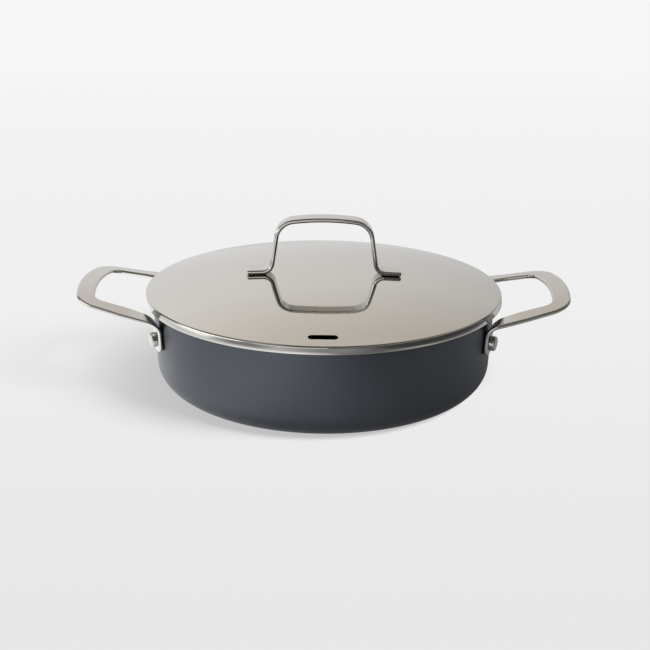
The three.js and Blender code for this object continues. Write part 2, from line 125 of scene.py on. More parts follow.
def maker_of(kind, **traits):
    """A maker of settings of one kind, each with a name, a description and a default."""

    def make(name, description, default):
        return kind(name=name, description=description, default=default, **traits)

    return make


length_of = maker_of(FloatProperty, min=0.0, precision=5, subtype="DISTANCE", unit="LENGTH")
share_of = maker_of(FloatProperty, min=0.0, max=1.0, subtype="FACTOR")
colour_of = maker_of(FloatVectorProperty, min=0.0, max=1.0, size=3, subtype="COLOR")
count_of = maker_of(IntProperty, min=1)


def angle_of(name, description, degrees):
    """An angle, given in degrees."""
    return FloatProperty(
        name=name, description=description, default=radians(degrees), subtype="ANGLE", unit="ROTATION"
    )


class PanSizes(PropertyGroup):
    """Sizes of the pan's body and of the plate in its underside."""

    inner_radius: length_of("Inner radius", "Radius inside the rim", 0.140)
    wall: length_of("Wall", "Thickness of the wall", 0.003)
    height: length_of("Height", "Height of the body", 0.0772)
    draft: angle_of("Draft", "Lean of the wall", 1.9)
    floor: length_of("Floor", "Thickness of the floor", 0.005)
    outer_corner: length_of("Outer corner", "Radius of the lower corner outside", 0.019)
    inner_corner: length_of("Inner corner", "Radius of the lower corner inside", 0.016)
    rim_bend: length_of("Rim bend", "Radius of the bend under the rim", 0.0025)
    plate_thickness: length_of("Plate thickness", "Thickness of the base plate", 0.002)
    plate_stand: length_of("Plate stand", "Height of the body above the hob", 0.0005)
    plate_edge: length_of("Plate edge", "Chamfer of the base plate", 0.0004)
    plate_ring: length_of("Plate ring", "Width of the bare ring round the base plate", 0.013)
    seat_gap: length_of("Seat gap", "Gap between pieces that touch", 0.0003)


class LidSizes(PropertyGroup):
    """Sizes of the lid's sheet and its steam vent."""

    sheet: length_of("Sheet", "Thickness of the sheet", 0.001)
    dome_rise: length_of("Dome rise", "Height of the dome", 0.011)
    dome_power: FloatProperty(
        name="Dome power",
        description="How much more the dome bends towards its edge, 2 for even",
        default=2.5,
    )
    skirt_height: length_of("Skirt height", "Height of the skirt", 0.0060)
    skirt_flare: length_of("Skirt flare", "How far the lip stands out past the crease", 0.0008)
    skirt_bulge: angle_of("Skirt bulge", "Turn of the skirt's rounded face from crease to lip", 6.0)
    skirt_clearance: length_of("Skirt clearance", "Room between the skirt and the rim", 0.0011)
    crease_radius: length_of("Crease radius", "Radius between dome and skirt", 0.0018)
    lip_radius: length_of("Lip radius", "Radius of the lip's edges", 0.0004)
    vent_length: length_of("Vent length", "Length of the steam vent", 0.022)
    vent_width: length_of("Vent width", "Width of the steam vent", 0.0064)
    vent_inset: length_of("Vent inset", "Distance of the vent from the crease", 0.0135)


class LidHandleSizes(PropertyGroup):
    """Sizes of the bent strap on the lid."""

    width: length_of("Width", "Width of the strap", 0.017)
    thickness: length_of("Thickness", "Thickness of the strap", 0.0037)
    rise: length_of("Rise", "Height over the dome's top", 0.0481)
    grip: length_of("Grip", "Length of the crowned grip", 0.052)
    crown_radius: length_of("Crown radius", "Radius of the grip's crown", 0.200)
    corner_radius: length_of("Corner radius", "Radius from grip to leg", 0.016)
    leg_lean: angle_of("Leg lean", "Lean of the legs", 8.5)
    foot_bend: length_of("Foot bend", "Radius from leg to foot", 0.008)
    foot_length: length_of("Foot length", "Length of a foot", 0.014)
    foot_corner: length_of("Foot corner", "Rounding of a foot's corners", 0.0017)
    edge: length_of("Edge", "Rounding of the strap's edges", 0.0016)


class SideHandleSizes(PropertyGroup):
    """Sizes of a loop handle and its tabs."""

    thickness: length_of("Thickness", "Thickness of the strap", 0.0035)
    reach: length_of("Reach", "Distance from the wall to the loop's outer edge", 0.0608)
    slope: angle_of("Slope", "Rise of the loop towards the outside", 10.9)
    crown_radius: length_of("Crown radius", "Radius of the loop's crown from arm to arm", 0.500)
    drop: length_of("Drop", "Depth of the folds below the rim", 0.0135)
    bar_width: length_of("Bar width", "Width of the outer bar", 0.0148)
    arm_width: length_of("Arm width", "Width of an arm", 0.0146)
    root_width: length_of("Root width", "Width of an arm at the fold", 0.0165)
    arm_turn: angle_of("Arm turn", "Turn of the arms to each other", 12.5)
    corner_radius: length_of("Corner radius", "Radius from bar to arm", 0.018)
    bow_radius: length_of("Bow radius", "Radius of the bar's bow", 0.180)
    fold_radius: length_of("Fold radius", "Radius of the fold at the wall", 0.011)
    fold_lead: length_of("Fold lead", "Length over which the strap swings to the fold", 0.018)
    edge: length_of("Edge", "Rounding of the strap's edges", 0.0016)
    tab_angle: angle_of("Tab angle", "Place of the tabs round the pan", 23.8)
    tab_width: length_of("Tab width", "Width of a tab", 0.015)
    tab_drop: length_of("Tab drop", "Length of a tab below the fold", 0.0248)
    tab_tip: length_of("Tab tip", "Radius of a tab's corners", 0.006)


class RivetSizes(PropertyGroup):
    """Sizes of a rivet."""

    tip_distance: length_of("Tip distance", "Distance from the tab's tip", 0.0103)
    shank_radius: length_of("Shank radius", "Radius of the shank", 0.003)
    shank_clearance: length_of("Shank clearance", "Room round the shank", 0.0003)
    head_radius: length_of("Head radius", "Radius of the head", 0.006)
    head_height: length_of("Head height", "Height of the head", 0.0045)
    head_edge: length_of("Head edge", "Rounding of the head", 0.0014)
    inner_radius: length_of("Inner radius", "Radius of the inner head", 0.0055)
    inner_height: length_of("Inner height", "Height of the inner head", 0.0016)


class Fineness(PropertyGroup):
    """How finely round shapes are stepped."""

    turn_steps: count_of("Turn steps", "Steps round the pan and lid", 192)
    rivet_steps: count_of("Rivet steps", "Steps round a rivet", 48)
    arc_steps: count_of("Arc steps", "Steps of a rounded corner", 10)
    longest_run: length_of("Longest run", "Longest straight step along a profile", 0.004)
    strap_step: length_of("Strap step", "Longest step along a strap", 0.002)
    strap_turn: angle_of("Strap turn", "Largest turn in one step along a strap", 4.0)
    edge_steps: count_of("Edge steps", "Steps of a strap's rounded edge", 6)


class Finishes(PropertyGroup):
    """Colours of the surfaces."""

    anodised: colour_of("Anodised", "Hard-anodised outside", (0.084, 0.092, 0.107))
    coating: colour_of("Coating", "Non-stick inside", (0.026, 0.027, 0.030))
    lid_steel: colour_of("Lid steel", "Polished lid", (0.630, 0.615, 0.590))
    strap_steel: colour_of("Strap steel", "Polished straps", (0.600, 0.587, 0.562))
    rivet_steel: colour_of("Rivet steel", "Satin rivets", (0.560, 0.550, 0.535))
    base_steel: colour_of("Base steel", "Turned base plate", (0.420, 0.415, 0.400))


class Studio(PropertyGroup):
    """Floor, light and camera."""

    floor_near: colour_of("Near floor", "Pale floor in front of the pan", (0.805, 0.805, 0.805))
    floor_middle: colour_of("Middle floor", "Pale floor round the pan", (0.865, 0.865, 0.865))
    floor_far: colour_of("Far floor", "Pale floor behind the pan", (0.925, 0.925, 0.925))
    floor_glow: share_of("Floor glow", "Share of the floor's tone that shadows don't reach", 0.86)
    near_glow: share_of("Near glow", "The same share close to the pan", 0.62)
    sky_light: share_of("Sky light", "Strength of the soft light from all round", 0.05)
    key_light: FloatProperty(
        name="Key light", description="Strength of the soft light from the right", default=4.46, min=0.0
    )
    key_softness: angle_of("Key softness", "Width of the soft light from the right", 28.0)
    camera_distance: length_of("Camera distance", "Distance from the aim point", 0.846)
    camera_rise: angle_of("Camera rise", "Height of the view over the horizon", 19.559)
    camera_roll: angle_of("Camera roll", "Roll of the picture", 0.647)
    aim_side: length_of("Aim side", "Aim point towards the right handle", 0.00133)
    aim_height: length_of("Aim height", "Height of the aim point", 0.04232)
    lens: FloatProperty(
        name="Lens", description="Focal length on a 36 mm frame", default=54.643, min=1.0, unit="CAMERA"
    )


class SautePanSettings(PropertyGroup):
    """All settings of the saute pan."""

    pan: PointerProperty(type=PanSizes)
    lid: PointerProperty(type=LidSizes)
    lid_handle: PointerProperty(type=LidHandleSizes)
    side_handle: PointerProperty(type=SideHandleSizes)
    rivet: PointerProperty(type=RivetSizes)
    fineness: PointerProperty(type=Fineness)
    finishes: PointerProperty(type=Finishes)
    studio: PointerProperty(type=Studio)


def pan_layout(settings):
    """Heights and radii that several pieces share."""
    pan, lid, handle = settings.pan, settings.lid, settings.side_handle
    at = SimpleNamespace()
    at.underside_z = pan.plate_stand
    at.floor_z = at.underside_z + pan.floor
    at.rim_z = at.underside_z + pan.height
    at.draft = pan.draft
    lean = tan(pan.draft)
    slant = cos(pan.draft)
    at.inner_wall = lambda z: pan.inner_radius - (at.rim_z - z) * lean
    at.outer_wall = lambda z: at.inner_wall(z) + pan.wall / slant
    at.rim_bend_z = at.rim_z - pan.wall - pan.rim_bend
    at.rim_seat = at.outer_wall(at.rim_bend_z) + pan.rim_bend / slant
    at.corner_z = at.underside_z + pan.outer_corner
    at.underside_radius = at.outer_wall(at.corner_z) - pan.outer_corner / slant
    at.plate_radius = at.underside_radius - pan.plate_ring

    at.lip_radius = at.rim_seat + pan.wall / 2 + lid.skirt_clearance + lid.sheet
    at.crease_radius = at.lip_radius - lid.skirt_flare
    dome_drop = lambda r: lid.dome_rise * (r / at.crease_radius) ** lid.dome_power
    at.dome_slope = lambda r: atan(lid.dome_power * dome_drop(r) / r) if r else 0.0
    sheet_depth = lambda r: lid.sheet / cos(at.dome_slope(r))
    at.apex_z = at.rim_z + pan.seat_gap + dome_drop(at.rim_seat) + sheet_depth(at.rim_seat)
    at.dome_z = lambda r: at.apex_z - dome_drop(r)
    at.under_dome_z = lambda r: at.dome_z(r) - sheet_depth(r)
    at.vent_radius = at.crease_radius - lid.vent_inset

    tab_distance = at.outer_wall(0.0) * slant + pan.seat_gap + handle.thickness / 2
    at.tab_radius = lambda z: (tab_distance + z * sin(pan.draft)) / slant
    at.fold_z = at.rim_z - handle.drop
    at.tab_tip_z = at.fold_z - handle.tab_drop
    at.rivet_z = at.tab_tip_z + settings.rivet.tip_distance * slant
    at.rivet_angles = {
        "right_front": -handle.tab_angle,
        "right_rear": handle.tab_angle,
        "left_front": pi + handle.tab_angle,
        "left_rear": pi - handle.tab_angle,
    }
    return at


def arc(centre_r, centre_z, radius, start, end, steps):
    """Points of an arc in a profile, between two angles in degrees."""
    angles = [radians(start + (end - start) * i / steps) for i in range(steps + 1)]
    return [(centre_r + radius * cos(a), centre_z + radius * sin(a)) for a in angles]


def swept(centre, spoke, turn, steps):
    """Points that a spoke's end passes on a turn about a centre."""
    ends = (centre + Matrix.Rotation(turn * i / steps, 2) @ spoke for i in range(steps + 1))
    return [tuple(end) for end in ends]


def fillet(before, corner, after, radius, steps):
    """Points of the arc that rounds a corner between two straight lines."""
    corner = Vector(corner)
    to_before = (Vector(before) - corner).normalized()
    to_after = (Vector(after) - corner).normalized()
    half = to_before.angle(to_after) / 2
    centre = corner + (to_before + to_after).normalized() * radius / sin(half)
    start = corner + to_before * radius / tan(half) - centre
    end = corner + to_after * radius / tan(half) - centre
    return swept(centre, start, atan2(start.cross(end), start.dot(end)), steps)


def bowed(start, end, turn, steps):
    """Points of the arc between two points that bows to the right of the way, with a turn in all."""
    start, end = Vector(start), Vector(end)
    chord = end - start
    radius = chord.length / (2 * sin(turn / 2))
    outwards = Vector((chord.y, -chord.x)).normalized()
    centre = (start + end) / 2 - outwards * radius * cos(turn / 2)
    return swept(centre, start - centre, turn, steps)


def stepped(profile, longest):
    """The same profile with its long straight runs cut into steps."""
    points = [profile[0]]
    for before, after in zip(profile, profile[1:]):
        run = dist(before, after)
        steps = max(1, ceil(run / longest))
        for i in range(1, steps + 1):
            share = i / steps
            points.append(tuple(a + (b - a) * share for a, b in zip(before, after)))
    return points


def walk(start, heading, moves, step, largest_turn):
    """Walks straight runs and arcs over a flat plane, and lists each place with its heading.

    A move is a length and a turn, to the left where positive.
    """
    places = [SimpleNamespace(point=Vector(start), heading=heading, move=0, share=0.0)]
    for number, (run, turn) in enumerate(moves):
        first = places[-1]
        steps = max(1, ceil(run / step), ceil(abs(turn) / largest_turn))
        for i in range(1, steps + 1):
            share = i / steps
            turned = turn * share
            chord = run * share
            if turn:
                chord *= sin(turned / 2) / (turned / 2)
            towards = first.heading + turned / 2
            point = first.point + chord * Vector((cos(towards), sin(towards)))
            places.append(
                SimpleNamespace(point=point, heading=first.heading + turned, move=number, share=share)
            )
    return places


def clear_selection():
    """Leaves edit mode and deselects every object."""
    if bpy.context.mode != "OBJECT":
        bpy.ops.object.mode_set(mode="OBJECT")
    bpy.ops.object.select_all(action="DESELECT")


def pick(piece):
    """Makes a piece the only selected and the active one."""
    clear_selection()
    piece.select_set(True)
    bpy.context.view_layer.objects.active = piece


def apply_modifier(piece, kind, **values):
    """Adds a modifier to a piece, sets its values and applies it."""
    pick(piece)
    bpy.ops.object.modifier_add(type=kind)
    modifier = piece.modifiers[-1]
    for key, value in values.items():
        setattr(modifier, key, value)
    bpy.ops.object.modifier_apply(modifier=modifier.name)


def select_vertices(piece, wanted):
    """Goes to edit mode with only those vertices selected whose place passes a test."""
    bpy.ops.object.mode_set(mode="EDIT")
    bpy.ops.mesh.select_mode(type="VERT")
    bpy.ops.mesh.select_all(action="DESELECT")
    bpy.ops.object.mode_set(mode="OBJECT")
    for vertex in piece.data.vertices:
        vertex.select = wanted(vertex.co)
    bpy.ops.object.mode_set(mode="EDIT")


def rename(piece, name):
    """Names a piece and its mesh."""
    piece.name = piece.data.name = name


def copy_of(piece):
    """A copy of a piece, with its own mesh."""
    pick(piece)
    bpy.ops.object.duplicate(linked=False)
    return bpy.context.object


def turn_about_axis(piece, angle):
    """Turns a piece's mesh about the upright axis."""
    piece.rotation_euler.z = angle
    pick(piece)
    bpy.ops.object.transform_apply()


def place_point(place):
    """In edit mode, adds one vertex and leaves only it selected."""
    bpy.ops.mesh.select_all(action="DESELECT")
    bpy.ops.mesh.primitive_plane_add(size=SEED_SIZE)
    bpy.ops.mesh.merge(type="CENTER")
    bpy.ops.transform.translate(value=tuple(place))


def start_line(name, place):
    """Starts a new piece from one vertex, and stays in edit mode."""
    clear_selection()
    bpy.ops.mesh.primitive_plane_add(size=SEED_SIZE)
    piece = bpy.context.object
    rename(piece, name)
    bpy.ops.object.mode_set(mode="EDIT")
    bpy.ops.mesh.merge(type="CENTER")
    bpy.ops.transform.translate(value=tuple(place))
    return piece


def draw_line(points):
    """Draws the selected vertex out along the points that follow its own."""
    for before, after in zip(points, points[1:]):
        move = tuple(Vector(after) - Vector(before))
        bpy.ops.mesh.extrude_vertices_move(TRANSFORM_OT_translate={"value": move})


def face_outwards():
    """Turns all faces outwards and leaves edit mode."""
    bpy.ops.mesh.select_all(action="SELECT")
    bpy.ops.mesh.normals_make_consistent(inside=False)
    bpy.ops.object.mode_set(mode="OBJECT")


def turn_piece(name, profile, steps):
    """Turns a profile of radii and heights about the upright axis."""
    points = [(r, 0.0, z) for r, z in profile]
    piece = start_line(name, points[0])
    draw_line(points)
    bpy.ops.mesh.select_all(action="SELECT")
    bpy.ops.mesh.spin(steps=steps, angle=tau, center=(0, 0, 0), axis=(0, 0, 1))
    bpy.ops.mesh.select_all(action="SELECT")
    bpy.ops.mesh.remove_doubles(threshold=MERGE_DISTANCE)
    face_outwards()
    return piece


def ribbon_to_strap(ribbon, sizes, fineness, at_end, corner, corner_steps):
    """Rounds a ribbon's end corners and gives it the thickness and the rounded edges of a strap."""
    select_vertices(ribbon, at_end)
    bpy.ops.mesh.bevel(offset=corner, segments=corner_steps, affect="VERTICES")
    face_outwards()
    apply_modifier(ribbon, "SOLIDIFY", thickness=sizes.thickness, offset=0.0, use_even_offset=True)
    apply_modifier(
        ribbon,
        "BEVEL",
        width=sizes.edge,
        segments=fineness.edge_steps,
        limit_method="ANGLE",
        angle_limit=STRAP_EDGE_ANGLE,
        use_clamp_overlap=False,
    )


def smooth(piece):
    """Shades a piece smoothly, with its flat faces kept flat."""
    pick(piece)
    bpy.ops.object.shade_smooth_by_angle(angle=SHARP_ANGLE)
    apply_modifier(piece, "WEIGHTED_NORMAL", keep_sharp=True)


def cut_out(piece, cutter):
    """Takes a cutter's shape out of a piece and removes the cutter."""
    apply_modifier(piece, "BOOLEAN", operation="DIFFERENCE", solver="EXACT", object=cutter)
    bpy.data.objects.remove(cutter)


def rivet_drill(settings, at, angle):
    """Cutter for one rivet's hole, square to the wall."""
    clear_selection()
    radius = settings.rivet.shank_radius + settings.rivet.shank_clearance
    reach = 4 * (settings.pan.wall + settings.side_handle.thickness)
    bpy.ops.mesh.primitive_cylinder_add(vertices=settings.fineness.rivet_steps, radius=radius, depth=reach)
    drill = bpy.context.object
    seat = Matrix.Translation((at.tab_radius(at.rivet_z), 0, at.rivet_z))
    tilt = Matrix.Rotation(pi / 2 + at.draft, 4, "Y")
    drill.matrix_world = Matrix.Rotation(angle, 4, "Z") @ seat @ tilt
    bpy.ops.object.transform_apply()
    return drill


def dress(piece, body, node, slot, *finishes):
    """Gives a piece its finishes and puts it in its CAD node's place."""
    for finish in finishes:
        piece.data.materials.append(finish)
    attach(piece, body)
    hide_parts(node)


def new_finish(name):
    """New material, with its node tree and its shader."""
    finish = bpy.data.materials.new(name)
    finish.use_nodes = True
    return finish, finish.node_tree, finish.node_tree.nodes["Principled BSDF"]


def add_node(tree, kind, inputs=None, **values):
    """Adds a node, sets its values, and sets or links its inputs."""
    node = tree.nodes.new(kind)
    for key, value in values.items():
        setattr(node, key, value)
    for key, value in (inputs or {}).items():
        if isinstance(value, bpy.types.NodeSocket):
            tree.links.new(value, node.inputs[key])
        else:
            node.inputs[key].default_value = value
    return node


def surface_place(tree, stretch=(1, 1, 1)):
    """Place on the piece, stretched along its axes."""
    place = add_node(tree, "ShaderNodeTexCoord").outputs["Object"]
    return add_node(tree, "ShaderNodeMapping", {"Vector": place, "Scale": stretch}).outputs["Vector"]


def noise(tree, scale, detail, roughness=0.5, stretch=(1, 1, 1)):
    """Cloudy pattern from 0 to 1."""
    place = surface_place(tree, stretch)
    inputs = {"Vector": place, "Scale": scale, "Detail": detail, "Roughness": roughness}
    return add_node(tree, "ShaderNodeTexNoise", inputs).outputs["Fac"]


def turned_lines(tree, spacing, wander):
    """Fine rings round the upright axis, like the marks of a lathe or a polishing wheel."""
    inputs = {
        "Vector": surface_place(tree),
        "Scale": tau / (WAVE_FACTOR * spacing),
        "Distortion": wander,
        "Detail": 3.0,
        "Detail Scale": 0.4,
    }
    return add_node(tree, "ShaderNodeTexWave", inputs, wave_type="RINGS", rings_direction="Z").outputs["Fac"]


def ranged(tree, value, low, high, start=NOISE_LOW, end=NOISE_HIGH, way="LINEAR"):
    """A value brought from one range into another."""
    inputs = {"Value": value, "From Min": start, "From Max": end, "To Min": low, "To Max": high}
    return add_node(tree, "ShaderNodeMapRange", inputs, interpolation_type=way).outputs["Result"]


def combined(tree, operation, first, second):
    """Two values combined into one."""
    return add_node(tree, "ShaderNodeMath", {0: first, 1: second}, operation=operation).outputs[0]


def ramped(tree, axes, ramps):
    """Product of smooth ramps, each along an axis."""
    level = 1.0
    for axis, start, end, before, after in ramps:
        rise = ranged(tree, axes[axis], before, after, start, end, "SMOOTHSTEP")
        level = combined(tree, "MULTIPLY", level, rise)
    return level


def between(tree, share, first, second):
    """A value between two others."""
    return add_node(tree, "ShaderNodeMix", {0: share, 2: first, 3: second}).outputs[0]


def mixed(tree, share, first, second):
    """A shader mixed from two others."""
    return add_node(tree, "ShaderNodeMixShader", {0: share, 1: first, 2: second}).outputs[0]


def coloured(tree, value, stops):
    """A colour that follows a value through a list of places from 0 to 1 and colours."""
    node = add_node(tree, "ShaderNodeValToRGB", {"Fac": value})
    elements = node.color_ramp.elements
    for place, _ in stops[1:-1]:
        elements.new(place)
    for element, (place, colour) in zip(elements, stops):
        element.position = place
        element.color = (*colour, 1)
    return node.outputs["Color"]


def graded(tree, value, tones):
    """A grey level that follows a value through a list of places and levels."""
    low, high = tones[0][0], tones[-1][0]
    stops = [((place - low) / (high - low), (level, level, level)) for place, level in tones]
    return coloured(tree, ranged(tree, value, 0.0, 1.0, low, high), stops)


def toned(tree, pattern, colour, dark, light):
    """A colour made darker or lighter by a pattern."""
    ends = ((NOISE_LOW, dark), (NOISE_HIGH, light))
    return coloured(tree, pattern, [(at, [min(1.0, part * tone) for part in colour]) for at, tone in ends])


def relief(tree, height, strength, distance):
    """A bump from a height."""
    inputs = {"Height": height, "Strength": strength, "Distance": distance}
    return add_node(tree, "ShaderNodeBump", inputs).outputs["Normal"]


def wire(tree, shader, colour, roughness, normal, metallic=1.0):
    """Links a shader's colour, roughness and relief, and sets how metallic it is."""
    for key, pattern in (("Base Color", colour), ("Roughness", roughness), ("Normal", normal)):
        tree.links.new(pattern, shader.inputs[key])
    shader.inputs["Metallic"].default_value = metallic


def anodised_finish(colour):
    """Dark satin skin with a fine matt grain and faint clouding."""
    finish, tree, shader = new_finish("hard_anodised_skin")
    clouding = noise(tree, scale=22.0, detail=3.0)
    grain = noise(tree, scale=2600.0, detail=2.0)
    tone = toned(tree, clouding, colour, dark=0.94, light=1.06)
    roughness = ranged(tree, clouding, low=0.37, high=0.43)
    wire(tree, shader, tone, roughness, relief(tree, grain, strength=0.12, distance=0.00004), metallic=0.95)
    return finish


def coating_finish(colour):
    """Charcoal non-stick coat with fine pale specks."""
    finish, tree, shader = new_finish("non_stick_coat")
    specks = ranged(tree, noise(tree, scale=900.0, detail=1.0), 0.0, 1.0, start=0.62, end=0.72)
    orange_peel = noise(tree, scale=700.0, detail=2.0)
    tone = toned(tree, specks, colour, dark=1.0, light=2.6)
    roughness = ranged(tree, orange_peel, low=0.38, high=0.50)
    raised = relief(tree, orange_peel, strength=0.15, distance=0.00006)
    wire(tree, shader, tone, roughness, raised, metallic=0.0)
    return finish


def lid_finish(colour):
    """Mirror-polished sheet with the faint rings of the polishing wheel and a breath of haze."""
    finish, tree, shader = new_finish("polished_lid_sheet")
    haze = noise(tree, scale=14.0, detail=4.0, roughness=0.6)
    rings = turned_lines(tree, spacing=0.0005, wander=6.0)
    tone = toned(tree, haze, colour, dark=0.985, light=1.015)
    roughness = ranged(tree, haze, low=0.035, high=0.065)
    wire(tree, shader, tone, roughness, relief(tree, rings, strength=0.02, distance=0.000004))
    return finish


def strap_finish(name, colour):
    """Polished bar steel with hairlines and slight haze."""
    finish, tree, shader = new_finish(name)
    haze = noise(tree, scale=60.0, detail=4.0, roughness=0.6)
    hairlines = noise(tree, scale=1.0, detail=2.0, stretch=(120, 3200, 3200))
    tone = toned(tree, haze, colour, dark=0.97, light=1.03)
    roughness = ranged(tree, haze, low=0.06, high=0.12)
    wire(tree, shader, tone, roughness, relief(tree, hairlines, strength=0.03, distance=0.00001))
    return finish


def rivet_finish(colour):
    """Pressed rivet metal, satin, with small dents of the rivet set."""
    finish, tree, shader = new_finish("satin_rivet_metal")
    dents = noise(tree, scale=420.0, detail=3.0)
    tone = toned(tree, dents, colour, dark=0.92, light=1.06)
    roughness = ranged(tree, dents, low=0.20, high=0.32)
    wire(tree, shader, tone, roughness, relief(tree, dents, strength=0.03, distance=0.00003))
    return finish


def base_finish(colour):
    """Turned steel with plain lathe rings and hob marks."""
    finish, tree, shader = new_finish("turned_base_steel")
    rings = turned_lines(tree, spacing=0.0012, wander=1.5)
    marks = noise(tree, scale=45.0, detail=4.0, roughness=0.6)
    tone = toned(tree, marks, colour, dark=0.86, light=1.05)
    roughness = ranged(tree, marks, low=0.26, high=0.40)
    wire(tree, shader, tone, roughness, relief(tree, rings, strength=0.35, distance=0.00005))
    return finish


def body_profile(settings, at):
    """Outline of the body, from the recess for the base plate round the rim to the floor."""
    pan = settings.pan
    steps = settings.fineness.arc_steps
    draft = degrees(at.draft)
    recess_radius = at.plate_radius + pan.seat_gap
    recess_z = pan.plate_thickness + pan.seat_gap
    nose = pan.wall / 2
    inner_corner_z = at.floor_z + pan.inner_corner
    inner_corner_r = at.inner_wall(inner_corner_z) - pan.inner_corner / cos(at.draft)
    return [
        (0.0, recess_z),
        (recess_radius, recess_z),
        (recess_radius, at.underside_z),
        *arc(at.underside_radius, at.corner_z, pan.outer_corner, -90, -draft, 2 * steps),
        *arc(at.rim_seat, at.rim_bend_z, pan.rim_bend, 180 - draft, 90, steps),
        *arc(at.rim_seat, at.rim_z - nose, nose, -90, 90, steps),
        *arc(at.rim_seat, at.rim_bend_z, pan.rim_bend + pan.wall, 90, 180 - draft, steps)[1:],
        *arc(inner_corner_r, inner_corner_z, pan.inner_corner, -draft, -90, 2 * steps),
        (0.0, at.floor_z),
    ]


def without_repeats(profile):
    """The same profile without points that fall on the one before."""
    points = [profile[0]]
    for point in profile[1:]:
        if dist(point, points[-1]) > MERGE_DISTANCE:
            points.append(point)
    return points


class SAUTEPAN_OT_body(Operator):
    """Turns the pan's body, bores its rivet holes and coats its inside"""

    bl_idname = "saute_pan.body"
    bl_label = "Pan body"

    def execute(self, context):
        settings = context.scene.saute_pan
        at = pan_layout(settings)
        pan, fineness, finishes = settings.pan, settings.fineness, settings.finishes
        profile = stepped(without_repeats(body_profile(settings, at)), fineness.longest_run)
        body = turn_piece("pan_shell", profile, fineness.turn_steps)
        for angle in at.rivet_angles.values():
            cut_out(body, rivet_drill(settings, at, angle))
        smooth(body)
        skin, coat = anodised_finish(finishes.anodised), coating_finish(finishes.coating)
        dress(body, "pan", "pan_body", "anodised_body", skin, coat)
        for face in body.data.polygons:
            x, y, z = face.center
            above_floor = z > at.floor_z - pan.floor / 4
            within_wall = hypot(x, y) < at.inner_wall(z) + pan.wall / 4
            if above_floor and within_wall and face.normal.z > FACING_DOWN:
                face.material_index = 1
        return {"FINISHED"}


class SAUTEPAN_OT_base_plate(Operator):
    """Turns the steel plate in the pan's underside"""

    bl_idname = "saute_pan.base_plate"
    bl_label = "Base plate"

    def execute(self, context):
        settings = context.scene.saute_pan
        at = pan_layout(settings)
        pan, fineness = settings.pan, settings.fineness
        outline = [
            (0.0, 0.0),
            (at.plate_radius - pan.plate_edge, 0.0),
            (at.plate_radius, pan.plate_edge),
            (at.plate_radius, pan.plate_thickness),
            (0.0, pan.plate_thickness),
        ]
        plate = turn_piece("hob_plate", stepped(outline, 2 * fineness.longest_run), fineness.turn_steps)
        smooth(plate)
        finish = base_finish(settings.finishes.base_steel)
        dress(plate, "pan", "induction_base_plate", "base_steel", finish)
        return {"FINISHED"}


